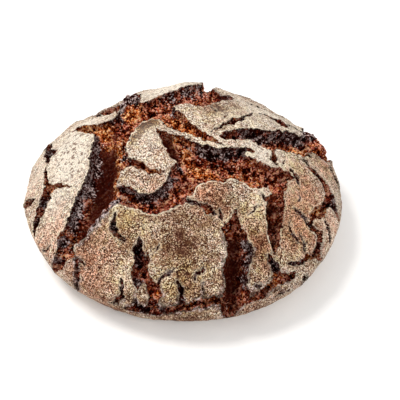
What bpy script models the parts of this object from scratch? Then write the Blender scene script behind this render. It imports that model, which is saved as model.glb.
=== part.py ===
"""A round rustic rye loaf whose crust has burst into floured plates with torn fissures between them.

The loaf is one closed solid.  A turned profile gives the dome, the rolled side and the flat base.
Every fissure is a route on the crust, in centimetres of crust measured outwards from the crown,
with the front of the loaf towards -Y.  The routes sink grooves into the dome, and the plates
beside them stand a little proud, with curled lips.  The mesh's points are laid along the fissures'
edges, floors and middles first, and the rest of the crust is filled with rings of points.
"""

import math

import bpy
import numpy as np
from mathutils.geometry import delaunay_2d_cdt

CM = 0.01
MM = 0.001

# Driving dimensions, in metres.
RIM_RADIUS = 0.130  # the widest ring, low on the side
RIM_HEIGHT = 0.030  # how high that ring lies
CROWN_HEIGHT = 0.101  # top of the dome between the fissures
BASE_RADIUS = 0.105  # flat face that the loaf was baked on
DOME_POWER = 0.85  # 0.5 makes the dome an ellipsoid, 1 a paraboloid

# The outline isn't quite round: (waves round the loaf, share of the radius, where a crest lies).
OUTLINE_WAVES = ((2, 0.010, 160), (3, 0.008, 75), (5, 0.005, 20))

# Relief of the crust.
LIP_HEIGHT = 2.0 * MM  # how far a plate curls up at its edge
LIP_WIDTH = 6.0 * MM
WALL_WIDTH = 3.6 * MM  # from a fissure's edge to the foot of its steep wall
WALL_SHARE = 0.62  # share of the depth reached at the wall's foot
FULL_WIDTH = 9.0 * MM  # a fissure at least this wide, to each side, has its full depth
CALM_MARGIN = 22.0 * MM  # the relief fades out over this much crust above the base

# Unevenness, as sums of waves across the crust: (size, shortest wave, longest wave).
RAGGED_EDGES = (1.1 * MM, 14 * MM, 40 * MM)
LUMPY_FLOOR = (1.4 * MM, 12 * MM, 26 * MM)
UNEVEN_CRUST = (0.7 * MM, 24 * MM, 80 * MM)
WAVE_COUNT = 14
SEED = 11

# Spacing of the mesh's points.
EDGE_STEP = 3.4 * MM
FLOOR_STEP = 3.8 * MM
PLATE_STEP = 6.0 * MM
SCAN_STEP = 2.0 * MM
ROUTE_STEP = 2.5 * MM
BASE_RINGS = (0.94, 0.8, 0.6, 0.35)  # rings of points on the flat base, as shares of its radius

# name: (depth in cm, route).  A route point is (x, y, half width), all in centimetres of crust.
FISSURES = {
    "left_gap": (1.25, ((-5.9, 1.0, 1.4), (-6.1, -1.0, 1.7), (-6.2, -3.0, 1.6), (-6.5, -4.6, 1.6),
                        (-7.4, -6.2, 1.8), (-8.3, -7.6, 1.4), (-9.4, -8.9, 1.0), (-10.7, -9.8, 0.6),
                        (-12.6, -10.5, 0.3))),
    "left_spur": (0.7, ((-9.8, 3.2, 0.2), (-8.6, 2.4, 0.5), (-7.4, 1.7, 0.7), (-6.2, 1.1, 1.0))),
    "crown_tear": (0.8, ((-5.0, 1.4, 1.2), (-3.4, 1.8, 1.5), (-1.8, 2.6, 1.7), (-0.3, 3.8, 1.7),
                         (1.0, 4.7, 1.7), (2.0, 5.8, 1.1), (2.1, 7.3, 0.6), (2.5, 9.4, 0.8),
                         (2.2, 12.0, 0.8), (1.2, 14.6, 0.5), (0.9, 16.4, 0.3))),
    "crown_spur": (0.7, ((1.4, 4.4, 1.2), (2.6, 4.6, 0.9), (3.9, 5.3, 0.2))),
    "back_left_gap": (1.0, ((-4.4, 2.4, 0.9), (-5.6, 4.2, 0.5), (-7.0, 5.9, 0.7), (-8.4, 8.0, 0.8),
                            (-9.6, 10.4, 0.7), (-11.4, 12.4, 0.3))),
    "ridge_strip": (0.7, ((-2.0, 1.2, 1.0), (-0.9, 0.4, 0.9), (0.2, -0.5, 0.7), (1.4, -1.3, 0.5),
                          (2.6, -1.7, 0.25))),
    "centre_gap": (1.25, ((-2.0, -1.1, 0.2), (-1.3, -2.3, 0.5), (-0.2, -3.2, 1.0), (1.2, -3.9, 1.5),
                          (2.8, -4.1, 1.6), (4.6, -4.3, 1.25), (6.2, -4.4, 1.2), (7.5, -4.6, 1.1))),
    "centre_tail": (1.0, ((7.4, -4.2, 0.9), (7.6, -5.6, 0.75), (7.5, -7.0, 0.65), (7.5, -8.5, 0.5),
                          (7.7, -10.0, 0.2))),
    "under_heart": (0.9, ((0.9, -4.7, 1.1), (-0.1, -6.0, 1.0), (-1.2, -7.0, 0.75), (-2.5, -7.5, 0.6),
                          (-3.9, -7.1, 0.6), (-5.2, -6.6, 0.7))),
    "right_gap": (1.25, ((2.8, -1.4, 0.2), (3.9, -1.0, 0.45), (5.2, -0.5, 0.75), (6.8, 0.0, 1.1),
                         (8.4, 0.7, 1.3), (10.0, 1.4, 1.5), (11.5, 2.7, 1.6), (12.9, 4.1, 1.5),
                         (14.0, 5.6, 1.3), (14.8, 7.4, 0.9), (15.0, 9.2, 0.3))),
    "front_gap": (0.9, ((4.1, -8.0, 0.2), (4.1, -9.0, 0.45), (4.3, -10.0, 0.8), (4.6, -11.2, 1.0),
                        (4.5, -12.6, 1.0), (4.4, -13.8, 0.9), (4.4, -15.0, 0.8), (4.8, -16.6, 0.3))),
    "front_crack": (0.6, ((-3.4, -10.2, 0.2), (-3.7, -11.4, 0.4), (-3.5, -13.0, 0.6),
                          (-2.6, -14.0, 0.5), (-2.5, -15.2, 0.5), (-3.1, -16.0, 0.2))),
    "left_edge_gap": (0.7, ((-13.3, 4.4, 0.3), (-12.7, 3.0, 0.5), (-12.4, 1.2, 0.3),
                            (-12.3, -1.2, 0.3), (-12.2, -3.4, 0.6), (-13.0, -5.1, 0.6),
                            (-13.8, -6.8, 0.2))),
    "right_edge_gap": (0.7, ((11.0, -1.4, 0.2), (12.1, -1.9, 0.4), (13.1, -2.8, 0.6),
                             (13.8, -4.2, 0.4), (14.2, -5.4, 0.2))),
    "right_zigzag": (0.6, ((12.9, -3.6, 0.5), (12.0, -5.2, 0.45), (11.1, -6.6, 0.35),
                           (12.0, -7.5, 0.35), (11.8, -9.0, 0.35), (10.4, -10.4, 0.3),
                           (8.7, -11.8, 0.4), (7.3, -13.0, 0.35), (5.6, -14.1, 0.2))),
    "lower_belt": (0.5, ((-6.2, -15.3, 0.2), (-4.0, -15.5, 0.3), (-1.9, -15.5, 0.35),
                         (0.2, -15.1, 0.3), (2.9, -14.6, 0.3))),
    "almond_slit": (0.5, ((6.6, 3.3, 0.15), (8.0, 3.1, 0.45), (9.2, 3.0, 0.15))),
    "plate_crack": (0.5, ((2.6, -0.7, 0.2), (3.8, 0.6, 0.25), (4.9, 1.5, 0.25), (5.6, 3.0, 0.15))),
    "heart_crack": (0.5, ((-4.1, -2.2, 0.15), (-4.0, -3.7, 0.3), (-3.2, -4.6, 0.25),
                          (-1.7, -5.2, 0.15))),
    "back_gap": (1.0, ((-5.0, 9.8, 0.2), (-3.6, 11.2, 0.6), (-3.0, 13.2, 0.8), (-3.6, 15.0, 0.5),
                       (-3.4, 16.4, 0.2))),
    "back_right_gap": (0.9, ((5.2, 8.4, 0.2), (6.8, 9.4, 0.6), (8.0, 11.2, 0.8), (8.2, 13.2, 0.5),
                             (7.6, 14.6, 0.2))),
}

# Places where the crust bulges: (x, y, reach, height), in centimetres.
BULGES = (
    (-4.9, 5.6, 1.2, 0.9),  # torn block at the back left of the crown
    (0.9, 7.0, 1.6, 0.5),  # tip of the back plate
    (3.8, 7.2, 1.4, 0.35),  # corner of the right-hand plate
    (2.4, -6.6, 2.4, 0.3),  # upper edge of the front plate
    (-4.6, -7.9, 1.8, 0.25),
    (-2.6, -2.6, 2.2, 0.3),  # heart-shaped plate in the middle
)


def crust_profile(steps=800):
    """Arc length from the crown, radius and height along half a cross-section, to the base's last ring."""
    across = np.linspace(0.0, 1.0, steps)
    dome_r = RIM_RADIUS * across
    dome_z = RIM_HEIGHT + (CROWN_HEIGHT - RIM_HEIGHT) * (1 - across**2) ** DOME_POWER
    turn = np.linspace(0.0, math.pi / 2, steps // 4)[1:]
    side_r = BASE_RADIUS + (RIM_RADIUS - BASE_RADIUS) * np.cos(turn)
    side_z = RIM_HEIGHT * (1 - np.sin(turn))
    base_r = BASE_RADIUS * np.linspace(1.0, BASE_RINGS[-1], steps // 4)[1:]
    r = np.concatenate([dome_r, side_r, base_r])
    z = np.concatenate([dome_z, side_z, np.zeros_like(base_r)])
    s = np.concatenate([[0.0], np.cumsum(np.hypot(np.diff(r), np.diff(z)))])
    return s, r, z


PROFILE_S, PROFILE_R, PROFILE_Z = crust_profile()
EDGE_S = PROFILE_S[-1] - BASE_RADIUS * (1 - BASE_RINGS[-1])  # where the side meets the base


def waves(places, size, shortest, longest, seed):
    """Smooth unevenness at each place, as a sum of waves in all directions."""
    chance = np.random.default_rng(SEED + seed)
    length = np.geomspace(shortest, longest, WAVE_COUNT)
    angle = chance.uniform(0, 2 * math.pi, WAVE_COUNT)
    start = chance.uniform(0, 2 * math.pi, WAVE_COUNT)
    number = 2 * math.pi / length * np.stack([np.cos(angle), np.sin(angle)])
    return size * np.sin(places @ number + start).sum(axis=-1) / math.sqrt(WAVE_COUNT / 2)


def outline(angle):
    """Share of the round profile's radius that the loaf has in each direction."""
    share = np.ones_like(angle)
    for waves, size, crest in OUTLINE_WAVES:
        share += size * np.cos(waves * (angle - math.radians(crest)))
    return share


def crust_point(flat):
    """The smooth loaf's surface at flat crust coordinates: arc length from the crown, in a direction."""
    s = np.hypot(flat[..., 0], flat[..., 1])
    angle = np.arctan2(flat[..., 1], flat[..., 0])
    r = np.interp(s, PROFILE_S, PROFILE_R) * outline(angle)
    z = np.interp(s, PROFILE_S, PROFILE_Z)
    return np.stack([r * np.cos(angle), r * np.sin(angle), z], axis=-1)


def crust_normal(flat, step=0.2 * MM):
    """Outward unit normal of the smooth loaf."""
    across = crust_point(flat + (step, 0.0)) - crust_point(flat - (step, 0.0))
    along = crust_point(flat + (0.0, step)) - crust_point(flat - (0.0, step))
    normal = np.cross(across, along)
    return normal / np.linalg.norm(normal, axis=-1, keepdims=True)


def opened_out(flat):
    """The crust laid out so that every angle is kept, for the triangulation."""
    s = np.hypot(flat[:, 0], flat[:, 1])
    beyond = PROFILE_S > MM
    rate = 1 / PROFILE_R[beyond]
    growth = np.cumsum((rate[1:] + rate[:-1]) / 2 * np.diff(PROFILE_S[beyond]))
    reach = MM * np.exp(np.interp(s, PROFILE_S[beyond][1:], growth))
    return flat * np.where(s < MM, 1.0, reach / np.maximum(s, MM))[:, None]


def smooth_route(points):
    """A Catmull-Rom curve through a route's points, in metres, about ROUTE_STEP apart."""
    p = np.array(points) * CM
    p = np.vstack([2 * p[0] - p[1], p, 2 * p[-1] - p[-2]])
    found = []
    for a, b, c, d in zip(p, p[1:], p[2:], p[3:]):
        steps = max(2, math.ceil(math.dist(b[:2], c[:2]) / ROUTE_STEP))
        t = np.arange(steps)[:, None] / steps
        found.append(b + t / 2 * (c - a + t * (2 * a - 5 * b + 4 * c - d + t * (3 * b - a - 3 * c + d))))
    return np.vstack([*found, p[-2][None]])


ROUTES = {name: (deepest * CM, smooth_route(points)) for name, (deepest, points) in FISSURES.items()}


def nearest_on_route(points, route):
    """Each point's distance to the route on the loaf, and the route's half width there."""
    line = crust_point(route[:, :2])
    start, run = line[:-1], np.diff(line, axis=0)
    length = (run**2).sum(axis=1)
    along = points @ run.T - (start * run).sum(axis=1)
    share = np.clip(along / length, 0.0, 1.0)
    to_start = (points**2).sum(axis=1)[:, None] - 2 * points @ start.T + (start**2).sum(axis=1)
    squared = to_start - 2 * share * along + share**2 * length
    best = squared.argmin(axis=1)
    rows = np.arange(len(points))
    width = route[:-1, 2] + share * np.diff(route[:, 2])
    return np.sqrt(np.maximum(squared[rows, best], 0.0)), np.maximum(width[rows, best], MM)


def fissure_fields(flat):
    """For each place: the way to the nearest fissure's edge, negative inside, and how deep the floor lies."""
    points = crust_point(flat)
    gap = np.full(len(flat), 1.0)
    depth = np.zeros(len(flat))
    ragged = waves(flat, *RAGGED_EDGES, seed=1)
    for deepest, route in ROUTES.values():
        distance, width = nearest_on_route(points, route)
        distance += ragged * np.clip(distance / width, 0.0, 1.0) * np.clip(width / FULL_WIDTH, 0.0, 1.0)
        gap = np.minimum(gap, distance - width)
        wall = np.minimum(WALL_WIDTH, 0.8 * width)
        down = np.clip((width - distance) / wall, 0.0, 1.0)
        beyond = np.clip((width - distance - wall) / (width - wall), 0.0, 1.0)
        floor = WALL_SHARE * down + (1 - WALL_SHARE) * np.sin(beyond * math.pi / 2)
        depth = np.maximum(depth, deepest * np.clip(width / FULL_WIDTH, 0.3, 1.0) * floor)
    return gap, depth


def crust_height(flat):
    """How far the crust stands out from the smooth loaf at each place."""
    gap, depth = fissure_fields(flat)
    height = LIP_HEIGHT * np.exp(-np.abs(gap) / LIP_WIDTH) - depth
    height += waves(flat, *UNEVEN_CRUST, seed=2)
    height += waves(flat, *LUMPY_FLOOR, seed=3) * np.clip(-gap / WALL_WIDTH, 0.0, 1.0)
    for x, y, reach, rise in BULGES:
        away = np.hypot(flat[:, 0] - x * CM, flat[:, 1] - y * CM)
        height += rise * CM * np.exp(-((away / (reach * CM)) ** 2))
    calm = np.clip((EDGE_S - np.hypot(flat[:, 0], flat[:, 1])) / CALM_MARGIN, 0.0, 1.0)
    return height * np.sin(calm * math.pi / 2)


def ring(s, count, turn=0.0):
    """Places evenly round the loaf at one arc length from the crown."""
    angle = (np.arange(count) + turn) * 2 * math.pi / count
    return s * np.stack([np.cos(angle), np.sin(angle)], axis=-1)


def rings(step, outer):
    """Places all over the crust from the crown out, about one step apart."""
    found = [np.zeros((1, 2))]
    for number, s in enumerate(np.arange(step, outer, step * math.sqrt(3) / 2)):
        count = round(2 * math.pi * np.interp(s, PROFILE_S, PROFILE_R) / step)
        found.append(ring(s, count, 0.5 * (number % 2)))
    return np.vstack(found)


def moved_to_gap(places, gap, wanted):
    """Those of the places that lie near one value of the gap, moved onto it."""
    near = places[np.abs(gap - wanted) < SCAN_STEP]
    step = 0.2 * MM
    for _ in range(3):
        here = fissure_fields(near)[0]
        slope = np.stack([fissure_fields(near + shift)[0] - here for shift in ((step, 0), (0, step))], axis=-1)
        slope /= step
        near = near - slope * ((here - wanted) / np.maximum((slope**2).sum(axis=1), 0.3))[:, None]
    return near[np.abs(fissure_fields(near)[0] - wanted) < 0.2 * MM]


def thinned(groups):
    """All the groups' places, the first groups first, leaving out those too near a place already kept."""
    total = sum(len(places) for places, _ in groups)
    kept, points, count = np.empty((total, 2)), np.empty((total, 3)), 0
    for places, spacing in groups:
        for place, point in zip(places, crust_point(places)):
            if count == 0 or ((points[:count] - point) ** 2).sum(axis=1).min() > spacing**2:
                kept[count], points[count] = place, point
                count += 1
    return kept[:count]


def mesh_places():
    """The crust places of the mesh's points: fissure edges, wall feet and middles, floors, plates, base."""
    scan = rings(SCAN_STEP, EDGE_S - EDGE_STEP)
    gap = fissure_fields(scan)[0]
    base_count = round(2 * math.pi * BASE_RADIUS / PLATE_STEP)
    groups = (
        (ring(EDGE_S, base_count), 0.0),
        (moved_to_gap(scan, gap, 0.0), EDGE_STEP),
        (moved_to_gap(scan, gap, -WALL_WIDTH), 0.75 * EDGE_STEP),
        (np.vstack([route[:, :2] for _, route in ROUTES.values()]), 0.75 * EDGE_STEP),
        (scan[gap < 0], FLOOR_STEP),
        (rings(PLATE_STEP, EDGE_S), 0.7 * PLATE_STEP),
    )
    base = [ring(EDGE_S + (1 - share) * BASE_RADIUS, round(base_count * share)) for share in BASE_RINGS]
    return np.vstack([thinned(groups), *base])


def crust_material():
    material = bpy.data.materials.new("floured_crust")
    material.use_nodes = True
    shader = material.node_tree.nodes["Principled BSDF"]
    shader.inputs["Base Color"].default_value = (0.33, 0.21, 0.13, 1.0)
    shader.inputs["Roughness"].default_value = 0.85
    shader.inputs["Metallic"].default_value = 0.0
    return material


def build_loaf():
    """The loaf, centred over the origin with its flat base on the ground."""
    flat = mesh_places()
    points = crust_point(flat) + crust_normal(flat) * crust_height(flat)[:, None]
    points[:, :2] -= (points[:, :2].max(axis=0) + points[:, :2].min(axis=0)) / 2
    points[np.hypot(flat[:, 0], flat[:, 1]) > EDGE_S - 0.01 * MM, 2] = 0.0

    _, _, triangles, original, _, _ = delaunay_2d_cdt(opened_out(flat).tolist(), [], [], 0, 1e-7)
    order = [places[0] for places in original]
    last_ring = round(round(2 * math.pi * BASE_RADIUS / PLATE_STEP) * BASE_RINGS[-1])
    rim = list(range(len(flat) - last_ring, len(flat)))
    faces = [[order[corner] for corner in triangle] for triangle in triangles]
    faces.append(rim[::-1])

    data = bpy.data.meshes.new("loaf")
    data.from_pydata(points.tolist(), [], faces)
    data.materials.append(crust_material())
    data.validate()
    loaf = bpy.data.objects.new("loaf", data)
    bpy.context.scene.collection.objects.link(loaf)
    return loaf


def main():
    for old in list(bpy.data.objects):
        bpy.data.objects.remove(old)
    build_loaf()


main()
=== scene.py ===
"""A round rustic rye loaf: floured crust plates over torn, partly burnt fissures, on a pale studio floor.

Places on the crust are given as (x, y) in millimetres of crust measured outwards from the crown, with the
loaf's front towards -y.  The mesh is laid out in that flat chart, then wrapped onto the domed loaf.
"""

import math

import bpy
import numpy as np
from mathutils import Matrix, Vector
from mathutils.geometry import delaunay_2d_cdt


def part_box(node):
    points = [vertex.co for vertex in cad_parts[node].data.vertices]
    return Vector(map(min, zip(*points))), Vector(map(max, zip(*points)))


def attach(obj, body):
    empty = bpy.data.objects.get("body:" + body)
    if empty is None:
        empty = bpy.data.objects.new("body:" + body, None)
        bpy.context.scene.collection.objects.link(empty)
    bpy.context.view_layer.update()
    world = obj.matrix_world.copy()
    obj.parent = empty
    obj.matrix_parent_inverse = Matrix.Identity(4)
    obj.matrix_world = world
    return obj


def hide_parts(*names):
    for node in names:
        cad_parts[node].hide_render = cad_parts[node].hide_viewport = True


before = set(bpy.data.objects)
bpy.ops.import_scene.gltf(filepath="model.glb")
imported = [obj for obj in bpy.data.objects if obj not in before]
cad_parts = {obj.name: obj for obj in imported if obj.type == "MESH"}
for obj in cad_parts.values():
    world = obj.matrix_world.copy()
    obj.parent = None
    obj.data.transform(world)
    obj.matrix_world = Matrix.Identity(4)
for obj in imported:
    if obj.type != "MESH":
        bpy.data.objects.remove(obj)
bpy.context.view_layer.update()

MM = 0.001
SEED = 7

# ---- The loaf's plain shape, from the size of its CAD solid ----
LOAF_LOW, LOAF_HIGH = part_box("loaf")
RIM_RADIUS = 0.495 * (LOAF_HIGH.x - LOAF_LOW.x)  # the widest ring, low on the side
CROWN_HEIGHT = 0.98 * (LOAF_HIGH.z - LOAF_LOW.z)  # top of the dome between the fissures
RIM_HEIGHT = 0.297 * CROWN_HEIGHT
BASE_RADIUS = 0.808 * RIM_RADIUS
DOME_POWER = 0.85
OUTLINE_WAVES = ((2, 0.010, 160), (3, 0.008, 75), (5, 0.005, 20))  # count, size, degrees of a crest
BASE_RINGS = (0.97, 0.9, 0.78, 0.62, 0.45, 0.3)  # shares of the base's radius

WALL_STEP = 0.6 * MM  # spacing of the mesh's points on the walls of the tears,
FINE_STEP = 1.0 * MM  # on their floors and beside them,
PLATE_STEP = 1.55 * MM  # and on the plates

# Across a tear, in millimetres from the crust's edge, negative inside it.
WALL_BAND = (-3.2, 0.4)  # where the walls are
FINE_REACH = 1.8  # how far the finer points go on over the crust
BAND_GAP = 0.35  # between two bands of points
WALL_DEPTH, WALL_RUN = 5.6, 2.2  # the steep wall under the edge: its height and its width
FLOOR_DEPTH, FLOOR_RUN = 6.4, 9.0  # the slope from there to the floor
LIP_HEIGHT, LIP_RUN = 1.2, 3.5  # the crust's raised edge
OVERHANG, UNDERCUT = 0.3, 0.9  # how far the edge leans out, and how far the wall is pulled back under it
NARROW = 1.5  # half width of the cracks that are too narrow for a band of walls
WIDE = 10.0  # half width that the torn areas count as
WANDER = 1.6  # how far the edges stray from their outlines on the map
LEAST_CRACK = 0.2  # half width of a crack at its ends

BULGE, BULGE_START, BULGE_RUN = 4.5 * MM, 105 * MM, 45 * MM  # how the front stands out over its base
CALM_RUN = 14 * MM  # over this way from the base the crust turns smooth
CRUST_WAVES = ((0.9, 34 * MM), (0.5, 13 * MM), (0.4, 5.5 * MM), (0.25, 3.2 * MM))  # height in mm, size
CLODS = ((5.2 * MM, 2.8, 1.6), (2.7 * MM, 2.6, 0.8))  # size, roundness and unevenness in mm

# ---- The crust's map, in millimetres ----
# Torn areas with a shape of their own, each as the crust's edges that follow one another round it.
TORN_AREAS = {
    "main_tear": (
        # left plate's edge, downwards
        (-73.5, 9), (-72.5, 1), (-74, -9), (-74.5, -20), (-74.5, -29), (-76.5, -37), (-80, -44),
        (-83.5, -50), (-88, -56), (-92, -64), (-96, -71), (-100, -78), (-105, -77.5), (-109, -82),
        (-109, -89), (-111, -95), (-117, -100), (-125, -104), (-129, -106),
        # front plate's curled upper edge, to the right
        (-116, -107.5), (-106, -107), (-98, -104), (-93, -102.5), (-90, -95), (-83, -93.5), (-75, -89.5),
        (-69, -85), (-62, -81.5), (-56, -77), (-50, -74), (-44, -76), (-36, -81), (-29, -84), (-22, -86),
        (-14, -84.5), (-7, -82), (-2, -80), (3, -75), (9, -71.5), (11, -66), (15, -61), (22, -59),
        (30, -59), (33.5, -55), (40, -53), (48, -54.5), (54, -58.5), (60, -58), (66, -55), (69.5, -58),
        # slot on the right, down and up again
        (65, -65), (64.5, -72), (67.5, -81), (69.5, -90), (72, -98), (76, -104), (78.5, -98), (80, -88),
        (80.5, -76), (81.5, -64), (82, -52), (84, -43),
        # arm plate, then the underside of the thin ridge, to the left
        (89, -38), (92, -35), (86, -31.5), (79, -32), (70, -33), (60, -31.5), (52, -29), (46, -29.5),
        (47, -27), (54, -25.5), (56.5, -23), (54, -21), (45, -23), (35, -26), (26, -27.5), (19, -27),
        (10, -24), (2, -20.5), (-6, -18), (-13, -15), (-20.5, -10),
        # heart-shaped plate, round its right side and bottom, then its crack and its left side
        (-18.5, -17), (-16, -25), (-12, -33), (-8.5, -40), (-4.5, -44.5), (-9, -48), (-10, -54),
        (-13, -61), (-17, -66), (-22, -68), (-28, -69.5), (-33, -67.5), (-39, -62), (-46, -59),
        (-51, -59), (-49.5, -52), (-48, -45.5), (-43, -43), (-38, -44.5), (-32, -48.5), (-25, -52),
        (-19, -53.5), (-13.5, -52.5), (-19, -50.5), (-24, -47.5), (-30, -42.5), (-36, -38.5),
        (-41, -35.5), (-43, -30), (-42.5, -22), (-40.5, -14), (-36, -6), (-31, 1), (-25, 4), (-19, 2.5),
        # top of the thin ridge, to the right
        (-15, -3), (-13, -7.5), (-8, -11.5), (0, -15.5), (8, -19), (17, -21.5), (26, -23.5), (33, -24),
        # right-hand plate's left and back edges
        (26, -20.5), (20, -16), (14, -11), (9, -5.5), (4, 1), (-1, 7), (-5, 13), (-8.5, 19.5), (-2, 21.5),
        (7, 21), (14, 21), (19, 24), (23, 28), (28, 33), (31, 39), (36, 41.5), (41, 45), (41.5, 51),
        (37, 53), (31, 51),
        # back plate's front edge, to the left
        (27, 59), (23, 66), (18, 70), (12, 68), (5, 64), (0, 60), (-7, 54), (-13, 50), (-19, 47),
        (-23, 44), (-28, 39), (-33, 33.5), (-36, 36), (-36, 48), (-38, 64), (-46, 82),
        # back left plate and the spur beside it
        (-66, 72), (-65, 60), (-63, 48), (-58, 35), (-54, 25), (-53.5, 17.5), (-59, 18), (-66, 18.5),
        (-73, 21.5), (-80, 23.5), (-85, 30), (-92, 32), (-99, 31), (-92, 26), (-88, 21), (-84, 15),
        (-80, 11),
    ),
    "left_crack": (
        (-130, 46), (-132, 38), (-127, 30), (-128, 22), (-124.5, 14), (-123, 4), (-123.5, -6),
        (-122.5, -16), (-122, -25), (-123, -31), (-126, -39), (-130, -48), (-135, -54), (-139, -62),
        (-137, -68.5), (-132, -62), (-125, -57), (-120, -51), (-116, -45), (-114, -39), (-110, -38),
        (-103, -39.5), (-96, -41.5), (-91, -42.5), (-97, -38.5), (-104, -33.5), (-110, -31), (-113, -30),
        (-117.5, -23), (-119.5, -13), (-120.5, -3), (-120, 8), (-115, 10.5), (-109.5, 12.5), (-114, 16.5),
        (-118.5, 22), (-119, 30), (-124, 39),
    ),
    "front_crack": (
        (-34, -100), (-36, -106), (-41, -110.5), (-39, -116), (-39.5, -121), (-42.5, -126), (-41, -132),
        (-38.5, -139.5), (-36, -134.5), (-32, -133), (-29.5, -139), (-27, -145), (-30, -150), (-23, -153),
        (-19, -148), (-16.5, -142), (-17.5, -137), (-22.5, -133), (-27.5, -129), (-28.5, -123),
        (-26, -119), (-25, -112), (-28.5, -115.5), (-31, -112), (-31.5, -106),
    ),
    "front_tear": (
        (41, -78), (37.5, -85), (33, -90), (31, -95), (34, -100), (36, -106), (36, -112), (34.5, -118),
        (35, -126), (36, -133), (35, -140), (31, -145), (35, -151), (39, -159), (45, -165), (50, -160),
        (52.5, -152), (53.5, -145), (59, -138.5), (56, -133), (54, -125), (56, -117), (58.5, -110),
        (57.5, -103), (53, -99), (49, -94), (46, -87), (43.5, -81),
    ),
    "slot_foot": (
        (72, -104), (76, -107.5), (81, -110), (84, -115), (90, -114), (97, -111), (95, -117), (90, -121),
        (83, -125), (77, -129), (73, -135), (65, -140), (56, -145), (53, -141), (60, -137.5), (68, -132),
        (72.5, -126), (76, -121), (74.5, -115), (71.5, -111), (69.5, -106),
    ),
    "right_crack": (
        (104, -14.5), (110, -11.5), (117, -12), (124, -14.5), (130, -17.5), (134, -23), (139, -29),
        (141.5, -35), (142.5, -41), (145, -47), (142, -50), (138, -44), (133, -40.5), (129, -44),
        (126, -51), (123, -57), (117, -60.5), (111.5, -64), (110.5, -68.5), (116, -70), (122, -70),
        (123.5, -76), (120.5, -83), (120, -90), (127, -92.5), (120, -95), (113, -96), (109, -99),
        (104, -101), (105, -95), (113, -91.5), (115.5, -85), (115, -77), (111, -74), (106, -74.5),
        (105, -70), (107.5, -66), (107.5, -61), (112, -54), (117, -48), (122, -42), (125, -36),
        (125.5, -31), (122, -25), (118, -21), (112, -20), (108, -18),
    ),
    "right_tear": (
        (28, -15.5), (33, -9.5), (39, -4.5), (46, -1.5), (54, 1), (61, 3.5), (68, 6.5), (75, 10.5),
        (83, 16), (91, 21.5), (100, 24.5), (105, 29), (108, 37), (108, 48), (112, 58), (116, 72),
        (124, 90), (140, 98), (152, 82), (154, 60), (150, 42), (143, 33), (139, 25), (133, 17.5),
        (124, 19), (117, 16), (111.5, 10), (110, 4), (106, -1), (102, -4), (92, -7), (83, -10), (76, -13),
        (70, -15), (62, -14.5), (55, -12.5), (48, -14), (40, -16.5), (33, -17),
    ),
    "plate_hole": (
        (62, 31), (69, 27), (76, 24.5), (82, 22), (88, 23), (89.5, 28), (86, 33.5), (79, 35), (73, 34.5),
        (67, 33.5),
    ),
    "belt": (
        (-56, -151), (-45, -149), (-34, -149.5), (-26, -151), (-16, -151), (-8, -151.5), (1, -149.5),
        (10, -147.5), (20, -144.5), (31, -142), (34, -147), (24, -149.5), (14, -151.5), (5, -153.5),
        (-5, -156), (-14, -155.5), (-20, -159), (-30, -159.5), (-40, -156), (-50, -155),
    ),
}

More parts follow.
